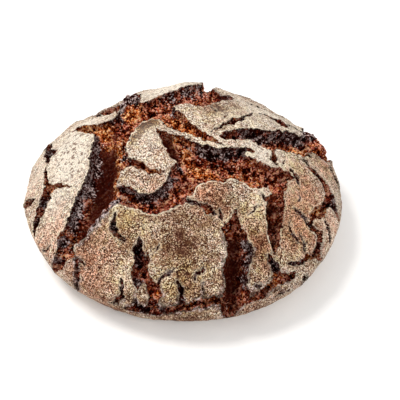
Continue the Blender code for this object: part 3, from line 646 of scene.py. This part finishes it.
def mesh_places():
    """Flat crust places of the mesh's points: fine in and beside the tears, coarser on plates and base."""
    found = []
    low, high = WALL_BAND
    for step, bands in (
        (WALL_STEP, ((low, high),)),
        (FINE_STEP, ((-99.0, low - BAND_GAP), (high + BAND_GAP, FINE_REACH))),
        (PLATE_STEP, ((FINE_REACH + 0.5, 999.0),)),
    ):
        places = rings(step, EDGE_S - FINE_STEP)
        gap, _, _, span = torn_fields(places)
        # A narrow crack has fine points right across, and none of the walls'.
        gap = np.where((span < NARROW) & (gap < 0) & (step == FINE_STEP), high + 0.5, gap)
        gap = np.where((span < NARROW) & (step == WALL_STEP), 99.0, gap)
        found += [places[(gap >= nearest) & (gap < furthest)] for nearest, furthest in bands]
    count = round(2 * math.pi * BASE_RADIUS / PLATE_STEP)
    found.append(ring(EDGE_S, count))
    for share in BASE_RINGS:
        found.append(ring(EDGE_S + (1 - share) * BASE_RADIUS, round(count * share / (1 + 6 * (1 - share)))))
    return np.vstack(found), len(found[-1])


def joined_up(flat, last_ring):
    """Triangles between the places, and one face over the middle of the base."""
    _, _, triangles, original, _, _ = delaunay_2d_cdt(opened_out(flat).tolist(), [], [], 0, 1e-8)
    order = np.array([places[0] for places in original])
    return order[np.array(triangles)], list(range(len(flat) - last_ring, len(flat)))[::-1]


def outward_normals(points, triangles):
    """The mesh's normal at each point."""
    corners = points[triangles]
    lean = np.cross(corners[:, 1] - corners[:, 0], corners[:, 2] - corners[:, 0])
    total = [np.bincount(triangles.ravel(), np.repeat(lean[:, axis], 3), len(points)) for axis in range(3)]
    total = np.stack(total, axis=-1)
    return total / np.maximum(np.linalg.norm(total, axis=1, keepdims=True), 1e-12)


def add_map(data, flat, s):
    """A texture map for the bake: the crust as one disc, the base as a small disc in the corner."""
    corner = np.empty(len(data.loops), np.int32)
    data.loops.foreach_get("vertex_index", corner)
    sizes = np.empty(len(data.polygons), np.int32)
    data.polygons.foreach_get("loop_total", sizes)
    starts = np.concatenate([[0], np.cumsum(sizes)[:-1]])
    face_end = np.repeat(np.maximum.reduceat(s[corner], starts), sizes)
    crust = flat / (2.02 * EDGE_S) + 0.5
    way = flat / np.maximum(s, MM)[:, None]
    base = 0.083 + 0.075 * way * (1 - (s - EDGE_S) / BASE_RADIUS)[:, None]
    places = np.where((face_end > EDGE_S + 0.1 * MM)[:, None], base[corner], crust[corner])
    data.uv_layers.new(name="OFBake").data.foreach_set("uv", places.astype(np.float32).ravel())


def sculpted(flat, triangles):
    """The mesh's points in space, and the fields that the material reads at them."""
    points = crust_point(flat)
    across, along, normal = crust_frame(flat)
    gap, depth, outwards, span = torn_fields(flat)
    s = np.hypot(flat[:, 0], flat[:, 1])
    calm = ease((EDGE_S - s) / CALM_RUN)
    wide = ease(depth / 5)
    torn = ease(-gap / 1.2) * wide * calm
    lit_orange = painted(flat, LIT_ORANGE)
    valley = painted(flat, VALLEYS) * (1 - 0.8 * lit_orange)

    height = np.zeros(len(points))
    for seed, (amount, size) in enumerate(CRUST_WAVES, 1):
        height += amount * noise(points, size, seed)
    lip = (LIP_HEIGHT + 0.9 * noise(points, 20 * MM, 5)) * np.clip(span / 4, 0.2, 1)
    height += lip * np.exp(-np.abs(gap) / LIP_RUN)
    height += sum(patch_of(flat, swell) for swell in SWELLS)
    depth *= 1 - painted(flat, FILLED) * ease(-gap / 6)
    # Extra depth, which the material also reads as painted shade.
    deeper_and_shaded = sum(patch_of(flat, patch) for patch in DEEPER_AND_SHADED) * ease((-gap - 0.5) / 3)
    height -= depth + deeper_and_shaded + 2.0 * valley * torn
    points += normal * (height * calm * MM)[:, None]

    # The crust overhangs the tears a little, and the walls are pulled back under it.
    slide = OVERHANG * np.exp(-((gap / 1.2) ** 2)) - UNDERCUT * np.exp(-(((gap + 2.6) / 1.6) ** 2))
    slide = slide * calm * wide * -MM
    points += (across * outwards[:, :1] + along * outwards[:, 1:]) * slide[:, None]

    # The torn crumb is made of clods, on the walls as well as on the floor.
    burnt = painted(flat, BURNT) * np.exp(-np.maximum(depth - 7.0, 0) / 2.5) * ease((gap + 18) / 4)
    burnt += 0.5 * noise(points, 7 * MM, 18) * ease(3 * burnt) + 0.7 * ease(1.8 - span / 1.6)
    bent = points + 1.2 * MM * np.stack([noise(points, 5 * MM, seed) for seed in (11, 12, 13)], axis=-1)
    lumps = np.zeros(len(points))
    for seed, (size, roundness, unevenness) in enumerate(CLODS, 1):
        away, chance = clods(bent, size, seed)
        lumps += roundness * (0.5 - away) + unevenness * (chance - 0.5)
    lumps *= 1 - 0.85 * valley
    points += outward_normals(points, triangles) * (lumps * torn * MM)[:, None]

    box_centre = (LOAF_LOW + LOAF_HIGH) / 2
    points[:, :2] += np.array(box_centre[:2]) - (points[:, :2].max(axis=0) + points[:, :2].min(axis=0)) / 2
    points[s > EDGE_S - 0.01 * MM, 2] = 0.0
    front = np.clip(-flat[:, 1] / np.maximum(s, MM), 0, 1) ** 2
    points[:, 1] -= BULGE * front * ease((s - BULGE_START) / BULGE_RUN)

    fields = {
        "gap": gap, "lumps": lumps, "burnt": burnt, "valley": valley, "chance": chance, "deeper_and_shaded": deeper_and_shaded,
        "lit_orange": lit_orange,
        # Paleness: flour less browning, with painted light and painted shade from the floured and browned
        # patches.
        "paleness": 0.5 + 0.5 * painted(flat, FLOURED_AND_LIT) - 0.5 * painted(flat, BROWNED_AND_SHADED),
        "lip": np.clip(0.35 + painted(flat, LIT_LIPS), 0, 1) * np.clip(0.8 + noise(points, 5 * MM, 15), 0, 1),
    }
    for name, patches in PAINTS.items():
        fields[name] = painted(flat, patches)
    return points, fields


def build_loaf():
    """The loaf's mesh object, with its fields as attributes."""
    flat, last_ring = mesh_places()
    triangles, base = joined_up(flat, last_ring)
    points, fields = sculpted(flat, triangles)
    data = bpy.data.meshes.new("rye_loaf")
    data.from_pydata(points.tolist(), [], [*triangles.tolist(), base])
    for name, values in fields.items():
        data.attributes.new(name, "FLOAT", "POINT").data.foreach_set("value", values.astype(np.float32))
    add_map(data, flat, np.hypot(flat[:, 0], flat[:, 1]))
    data.shade_smooth()
    loaf = bpy.data.objects.new("rye_loaf", data)
    bpy.context.scene.collection.objects.link(loaf)
    return loaf


# ---- Materials ----
class Graph:
    """Short ways to add and join shader nodes."""

    def __init__(self, name):
        self.material = bpy.data.materials.new(name)
        self.material.use_nodes = True
        self.tree = self.material.node_tree
        self.shader = self.tree.nodes["Principled BSDF"]

    def add(self, kind, **settings):
        node = self.tree.nodes.new(kind)
        for name, value in settings.items():
            setattr(node, name, value)
        return node

    def feed(self, socket, value):
        if isinstance(value, bpy.types.NodeSocket):
            self.tree.links.new(value, socket)
        elif value is not None:
            socket.default_value = value

    def math(self, operation, *values, clamp=False):
        node = self.add("ShaderNodeMath", operation=operation, use_clamp=clamp)
        for socket, value in zip(node.inputs, values):
            self.feed(socket, value)
        return node.outputs[0]

    def ramp(self, value, low, high, to_low=0.0, to_high=1.0):
        node = self.add("ShaderNodeMapRange", interpolation_type="SMOOTHSTEP")
        for socket, given in zip(node.inputs, (value, low, high, to_low, to_high)):
            self.feed(socket, given)
        return node.outputs[0]

    def mix(self, share, first, second, blend="MIX"):
        """A mix of two colours."""
        node = self.add("ShaderNodeMix", data_type="RGBA", blend_type=blend)
        for number, value in ((0, share), (6, first), (7, second)):
            self.feed(node.inputs[number], value)
        return node.outputs[2]

    def between(self, share, first, second):
        """A number on the way from the first to the second."""
        node = self.add("ShaderNodeMix", data_type="FLOAT")
        for number, value in ((0, share), (2, first), (3, second)):
            self.feed(node.inputs[number], value)
        return node.outputs[0]

    def shades(self, value, stops):
        """Colours along a value, from (place, red, green, blue) stops."""
        node = self.add("ShaderNodeValToRGB")
        marks = node.color_ramp.elements
        (low, *dark), *middle, (high, *pale) = stops
        marks[0].position, marks[0].color = low, colour(*dark)
        marks[1].position, marks[1].color = high, colour(*pale)
        for place, *tint in middle:
            marks.new(place).color = colour(*tint)
        self.feed(node.inputs[0], value)
        return node.outputs[0]

    def product(self, first, second):
        return self.math("MULTIPLY", first, second)

    def total(self, *values):
        """The sum of values, each a socket or a (socket, weight) pair."""
        found = None
        for value in values:
            if isinstance(value, tuple):
                value = self.product(*value)
            found = value if found is None else self.math("ADD", found, value)
        return found

    def centred(self, value, size):
        """A noise's value moved to lie round 0, and made larger."""
        return self.product(self.math("SUBTRACT", value, 0.5), size)

    def attribute(self, name):
        return self.add("ShaderNodeAttribute", attribute_name=name).outputs["Fac"]

    def place(self, seed):
        """Object coordinates, shifted so that two noises are not alike."""
        shift = self.add("ShaderNodeMapping")
        self.feed(shift.inputs["Vector"], self.add("ShaderNodeTexCoord").outputs["Object"])
        shift.inputs["Location"].default_value = (seed, 2 * seed, -seed)
        return shift.outputs[0]

    def scaled(self, places, factors, shift=None):
        """Places times three factors, and moved by another vector where one is given."""
        node = self.add("ShaderNodeVectorMath", operation="MULTIPLY_ADD")
        for socket, value in zip(node.inputs, (places, factors, shift)):
            self.feed(socket, value)
        return node.outputs[0]

    def noise_at(self, places, size, detail=2.0, roughness=0.5):
        """A noise texture's node, with bumps about one size across."""
        node = self.add("ShaderNodeTexNoise")
        self.feed(node.inputs["Vector"], places)
        node.inputs["Scale"].default_value = 1 / size
        node.inputs["Detail"].default_value = detail
        node.inputs["Roughness"].default_value = roughness
        return node

    def noise(self, size, detail=2.0, roughness=0.5, seed=0.0):
        return self.noise_at(self.place(seed), size, detail, roughness).outputs[0]

    def cells_at(self, places, size, feature="F1"):
        """A cell texture's node, with cells about one size across."""
        node = self.add("ShaderNodeTexVoronoi", feature=feature)
        self.feed(node.inputs["Vector"], places)
        node.inputs["Scale"].default_value = 1 / size
        return node


# Shades from dark to pale, as (place, red, green, blue) with each colour as it looks on screen, 0 to 255.
CRUST_SHADES = (
    (0, 56, 26, 17), (0.2, 92, 58, 43), (0.36, 126, 90, 70), (0.5, 166, 132, 107), (0.64, 206, 180, 153),
    (0.8, 230, 209, 184), (1, 250, 242, 228),
)
CRUMB_SHADES = (
    (0, 20, 1, 0), (0.25, 62, 10, 6), (0.5, 114, 32, 20), (0.75, 184, 78, 54), (1, 240, 166, 140),
)
# Orange crumb, also standing for painted light.
LIT_ORANGE_SHADES = (
    (0, 58, 9, 0), (0.25, 140, 46, 10), (0.5, 222, 110, 44), (0.75, 252, 158, 84), (1, 255, 216, 156),
)
CINDER_SHADES = (
    (0, 14, 1, 0), (0.4, 42, 9, 6), (0.62, 72, 36, 31), (0.8, 124, 90, 84), (1, 218, 198, 194),
)
VALLEY_SHADES = ((0, 36, 6, 3), (0.5, 60, 17, 10), (1, 98, 42, 28))


def colour(red, green, blue):
    """A colour given as it looks on screen, 0 to 255, as the linear value that shaders take."""
    found = [c / 255 for c in (red, green, blue)]
    return tuple(c / 12.92 if c <= 0.04045 else ((c + 0.055) / 1.055) ** 2.4 for c in found) + (1.0,)


def grains(g, size, seed, bend):
    """Packed grains: distance from each grain's middle, and three chances of its own."""
    stir = g.noise_at(g.place(seed), 2 * size).outputs["Color"]
    node = g.cells_at(g.scaled(stir, (bend, bend, bend), g.place(seed + 1)), size)
    chances = g.add("ShaderNodeSeparateColor")
    g.feed(chances.inputs[0], node.outputs["Color"])
    return node.outputs["Distance"], chances.outputs[0], chances.outputs[1], chances.outputs[2]


def streaks(g, seed, size):
    """A noise drawn out along the crust's edges: fine across them, several times as long along them."""
    across = g.add("ShaderNodeCombineXYZ")
    g.feed(across.inputs[0], g.product(g.attribute("gap"), MM))
    places = g.scaled(g.place(seed), (0.25, 0.25, 0.25), across.outputs[0])
    return g.noise_at(places, size, 2.0, 0.6).outputs[0]


def scratches(g, seed, size):
    """A noise drawn out from side to side, for the dashes on the floury plates."""
    places = g.scaled(g.place(seed), (0.25, 0.7, 1.0))
    return g.noise_at(places, size, 2.0, 0.6).outputs[0]


def hairlines(g):
    """A broken net of fine cracks: 1 in a crack, 0 beside it."""
    bend = g.noise_at(g.place(8.0), 5 * MM, 3.0).outputs["Color"]
    cells = g.cells_at(g.scaled(bend, (5 * MM, 5 * MM, 5 * MM), g.place(9.0)), 12 * MM, "DISTANCE_TO_EDGE")
    line = g.ramp(cells.outputs["Distance"], 0.04, 0.012)
    broken = g.ramp(g.noise(11 * MM, 1, 0.5, 10.0), 0.53, 0.58)
    return g.product(g.product(line, broken), g.attribute("chapped"))


def crust_colour(g, cracks):
    """Browned crust under patchy flour, with painted light and shade in its paleness, in fine grains; also
    how pale it is.
    """
    _, speck, pit, _ = grains(g, 0.62 * MM, 20.0, 0.25 * MM)
    away, coarse, hue, chance = grains(g, 2.0 * MM, 24.0, 0.6 * MM)
    cluster = g.centred(g.noise(4 * MM, 1, 0.5, 2.0), 1.0)
    patch = g.centred(g.noise(12 * MM, 2, 0.5, 3.0), 1.0)
    dashes = g.ramp(streaks(g, 26.0, 1.3 * MM), 0.6, 0.66)
    paleness = g.attribute("paleness")
    strength = g.ramp(g.noise(9 * MM, 2, 0.5, 29.0), 0.4, 0.6, 0.7, 1.3)
    specks = g.product(g.centred(speck, 1.0), g.total(strength, (paleness, 0.9), -0.1))
    level = g.total(
        paleness, 0.03, specks, (coarse, 0.06), (away, -0.06), (cluster, 0.28), (patch, 0.56), (cracks, -0.6),
        (g.ramp(pit, 0.93, 0.96), -0.3),
    )
    found = g.shades(level, CRUST_SHADES)
    tint = g.total(g.centred(hue, 0.35), g.centred(g.noise(6 * MM, 2, 0.5, 27.0), 2.0))
    pink = g.math("ADD", g.attribute("pink"), tint, clamp=True)
    olive = g.math("SUBTRACT", g.attribute("olive"), tint, clamp=True)
    found = g.mix(pink, found, colour(250, 208, 190), "MULTIPLY")
    found = g.mix(olive, found, colour(240, 230, 186), "MULTIPLY")
    white = g.attribute("white")
    found = g.mix(g.product(white, 0.6), found, colour(238, 230, 215))
    cuts = g.ramp(scratches(g, 33.0, 1.9 * MM), 0.59, 0.63)
    holes = g.product(g.ramp(chance, 0.89, 0.92), g.ramp(away, 0.8, 0.6))
    marks = g.math("MAXIMUM", g.math("MAXIMUM", dashes, cuts), holes)
    share = g.product(marks, g.total(0.35, (white, 0.45)))
    return g.mix(share, found, colour(94, 58, 40)), level


def torn_colour(g):
    """Torn crumb, red-brown to orange on its clods, with painted shade near black in its hollows, between
    the clods and where the floor lies deeper, painted light on the clods' tops, and painted glints.

    Also its cinders' colour, how burnt it is, how high it stands and how glossy it is.
    """
    away, first, second, third = grains(g, 1.6 * MM, 5.0, 0.8 * MM)
    _, tiny, gloss, _ = grains(g, 1.0 * MM, 7.0, 0.5 * MM)
    lumps = g.attribute("lumps")
    layers = g.centred(streaks(g, 28.0, 1.6 * MM), 1.0)
    # Painted shade and light: the tone is darker in the mesh's hollows, between the clods and where the
    # floor lies deeper, and paler on high clods; the chances, grains and layers are the crumb's own uneven
    # tone.
    tone = g.total(
        -0.35, (lumps, 0.32), (g.attribute("chance"), 0.3), (first, 0.6), (tiny, 1.1), (away, -0.25),
        (g.attribute("deeper_and_shaded"), -0.05), (layers, 1.3),
    )
    plain = g.shades(tone, CRUMB_SHADES)
    bright = g.shades(tone, LIT_ORANGE_SHADES)
    # Painted light: the cinder on walls that face the key lamp is paler.
    cinder = g.shades(g.total(tone, (g.attribute("lit_wall"), 0.14)), CINDER_SHADES)
    # The smooth valley floors, darker where the floor lies deeper as painted shade.
    calm = g.total(0.5, (lumps, 0.1), (layers, 0.8), (g.attribute("deeper_and_shaded"), -0.1))
    smooth = g.shades(calm, VALLEY_SHADES)
    # Orange where the crumb is orange or painted as lit.
    found = g.mix(g.total(g.attribute("lit_orange"), g.centred(second, 1.2)), plain, bright)
    found = g.mix(g.product(g.attribute("valley"), 0.95), found, smooth)
    burnt = g.ramp(g.total(g.attribute("burnt"), (second, 0.5), -0.25, (lumps, -0.03)), 0.4, 0.7)
    found = g.mix(burnt, found, cinder)
    # Painted glints: small pale highlights on the crumb's grains, most of them on the burnt walls.
    fewest = g.total(0.95, (burnt, 0.03), (g.attribute("lit_wall"), -0.33))
    painted_glints = g.product(g.ramp(g.math("SUBTRACT", third, fewest), 0.0, 0.03), g.ramp(away, 0.55, 0.35))
    painted_glints = g.product(painted_glints, g.ramp(g.attribute("valley"), 0.6, 0.2))
    # Colours of the painted glints, warm on the crumb and pale grey on the cinder.
    pale = g.mix(burnt, colour(246, 208, 190), colour(230, 218, 218))
    found = g.mix(g.product(painted_glints, 0.85), found, pale)
    glossy = g.product(g.ramp(gloss, 0.9, 0.95), g.ramp(burnt, 0.0, 1.0, 0.4, 1.0))
    return found, cinder, burnt, tone, glossy


def loaf_material():
    """Crust on the plates and crumb in the tears, with a ragged edge between them."""
    g = Graph("floured_rye_crust")
    ragged = g.centred(g.noise(1.5 * MM, 3, 0.7, 7.0), 3.4)
    gap = g.total(g.attribute("gap"), ragged)
    cracks = hairlines(g)
    crust, level = crust_colour(g, cracks)
    torn, cinder, burnt, tone, gloss = torn_colour(g)
    # A pale lip in places, partly floury dust and partly a painted highlight, then a dark line just under
    # it, partly scorch and partly painted shadow of the overhanging edge.
    near = g.total(g.attribute("gap"), (ragged, 0.5))
    lip = g.product(g.ramp(near, 1.5, 0.8), g.attribute("lip"))
    crust = g.mix(g.product(lip, 0.85), crust, colour(244, 230, 204))
    frayed = g.total(g.attribute("gap"), g.centred(g.noise(3.5 * MM, 3, 0.7, 12.0), 8.0))
    singed = g.product(g.ramp(frayed, 3.2, 1.2), g.attribute("singed"))
    crust = g.mix(g.product(singed, 0.85), crust, cinder)
    # Painted shadow under the overhanging crust edge, with scorch where it is burnt.
    edge_shadow_and_scorch = g.product(g.ramp(gap, -1.7, -0.6), g.total(0.5, (g.attribute("burnt"), 0.3)))
    torn = g.mix(edge_shadow_and_scorch, torn, colour(42, 8, 4))
    edge = g.ramp(gap, -0.2, 0.3)
    roughness = g.between(edge, g.ramp(burnt, 0.0, 1.0, 0.45, 0.3), 0.85)
    shine = g.between(edge, g.product(gloss, 0.4), 0.1)
    height = g.between(edge, g.product(tone, 1.6), g.total((level, 0.3), (cracks, -0.6)))
    bump = g.add("ShaderNodeBump")
    bump.inputs["Strength"].default_value = 1.0
    bump.inputs["Distance"].default_value = 1.0 * MM
    g.feed(bump.inputs["Height"], height)
    g.feed(g.shader.inputs["Base Color"], g.mix(edge, torn, crust))
    g.feed(g.shader.inputs["Roughness"], roughness)
    g.feed(g.shader.inputs["Specular IOR Level"], shine)
    g.feed(g.shader.inputs["Normal"], bump.outputs[0])
    return g.material


# ---- Studio ----
SKY_STRENGTH = 0.66
PAPER_GLOW = 0.14
LAMP_AIM = (0, 0, 0.04)
LAMPS = (  # name, place, metres across, watts, colour
    ("key", (-0.9, 0.45, 1.6), 0.9, 28, (1.0, 0.97, 0.93)),
    ("fill", (0.8, -1.15, 1.2), 0.6, 7, (1.0, 0.98, 0.96)),
)
CAMERA_DOWN = 42  # degrees
CAMERA_AIM = (0, 0, 0.045)
CAMERA_DISTANCE = 0.776
SHIFT_RIGHT, SHIFT_DOWN = 0.014, 0.0205


def floor_and_light():
    """A pale paper floor under a white sky, a key light at the back left and a fill at the front right."""
    bpy.ops.mesh.primitive_plane_add(size=12.0)
    floor = bpy.context.object
    floor.name = "studio_floor"
    g = Graph("white_paper")
    g.shader.inputs["Base Color"].default_value = (0.9, 0.9, 0.9, 1.0)
    g.shader.inputs["Roughness"].default_value = 0.9
    g.shader.inputs["Emission Color"].default_value = (1.0, 0.97, 0.93, 1.0)
    g.shader.inputs["Emission Strength"].default_value = PAPER_GLOW
    floor.data.materials.append(g.material)

    world = bpy.context.scene.world or bpy.data.worlds.new("studio")
    bpy.context.scene.world = world
    world.use_nodes = True
    back = world.node_tree.nodes["Background"]
    back.inputs["Color"].default_value = (1.0, 1.0, 1.0, 1.0)
    back.inputs["Strength"].default_value = SKY_STRENGTH

    for name, place, size, power, tint in LAMPS:
        lamp = bpy.data.lights.new(name, "AREA")
        lamp.shape = "DISK"
        lamp.size = size
        lamp.energy = power
        lamp.color = tint
        thing = bpy.data.objects.new(name, lamp)
        thing.location = place
        thing.rotation_euler = (Vector(LAMP_AIM) - Vector(place)).to_track_quat("-Z", "Y").to_euler()
        bpy.context.scene.collection.objects.link(thing)


def camera():
    """Looks along +Y and down, with the loaf a little left of and above the middle."""
    down = math.radians(CAMERA_DOWN)
    forward = Vector((0, math.cos(down), -math.sin(down)))
    right = Vector((1, 0, 0))
    up = right.cross(forward)
    data = bpy.data.cameras.new("camera")
    data.lens = 85
    data.sensor_width = 36
    thing = bpy.data.objects.new("camera", data)
    thing.location = Vector(CAMERA_AIM) - CAMERA_DISTANCE * forward + SHIFT_RIGHT * right - SHIFT_DOWN * up
    thing.rotation_euler = forward.to_track_quat("-Z", "Y").to_euler()
    bpy.context.scene.collection.objects.link(thing)
    bpy.context.scene.camera = thing


camera()
floor_and_light()
loaf = build_loaf()
loaf.data.materials.append(loaf_material())
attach(loaf, "root")
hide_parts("loaf")
bpy.context.scene.view_settings.view_transform = "Standard"
